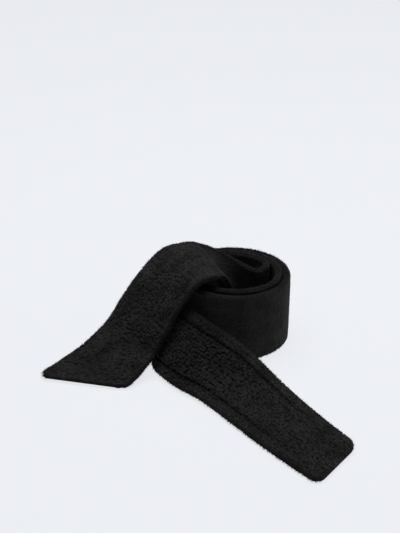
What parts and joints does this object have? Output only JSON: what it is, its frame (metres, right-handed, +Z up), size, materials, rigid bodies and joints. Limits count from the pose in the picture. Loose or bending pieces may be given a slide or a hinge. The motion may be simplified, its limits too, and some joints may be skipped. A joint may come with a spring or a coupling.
{
  "type": "necktie",
  "caption": "Black necktie of curly pile cloth, loosely rolled on its edge, with the blade end flopping over the rim and the tail end pulled out.",
  "frame": {"origin": "on the floor, in the middle of the box round the whole tie", "axes": "+Z up, against the floor the roll stands on; -Y towards the side where both free ends lie; +X to the side where the tail end runs"},
  "size_m": [0.2781, 0.2628, 0.0881],
  "materials": {
    "shell_cloth": "matte curly pile",
    "interlining": "matte brushed wool",
    "tipping": "satin lining",
    "label": "woven satin",
    "thread": "matte thread"
  },
  "bodies": {
    "roll": {"crossing_shell": "shell_cloth", "inner_turns_shell": "shell_cloth", "outer_turn_shell": "shell_cloth", "leaving_shell": "shell_cloth", "neck_interlining": "interlining", "neck_slip_stitch": "thread", "blade_join_stitch": "thread", "tail_join_stitch": "thread"},
    "blade": {"blade_shell": "shell_cloth", "blade_interlining": "interlining", "blade_tipping": "tipping", "blade_slip_stitch": "thread", "blade_bar_tack": "thread", "keeper_loop": "shell_cloth", "keeper_tacks": "thread", "blank_label": "label", "care_label": "label"},
    "tail": {"tail_shell": "shell_cloth", "tail_interlining": "interlining", "tail_tipping": "tipping", "tail_slip_stitch": "thread", "tail_bar_tack": "thread"}
  },
  "joints": [
    {"name": "blade_lift", "type": "hinge", "parent": "roll", "child": "blade", "pos_m": [-0.0126, 0.07717, 0.08456], "axis": [-0.4845, 0.8741, -0.0349], "range_deg": [0, 90]},
    {"name": "tail_lift", "type": "hinge", "parent": "roll", "child": "tail", "pos_m": [0.04413, -0.02135, 0.01545], "axis": [-0.7122, -0.6329, -0.3038], "range_deg": [0, 75]}
  ]
}
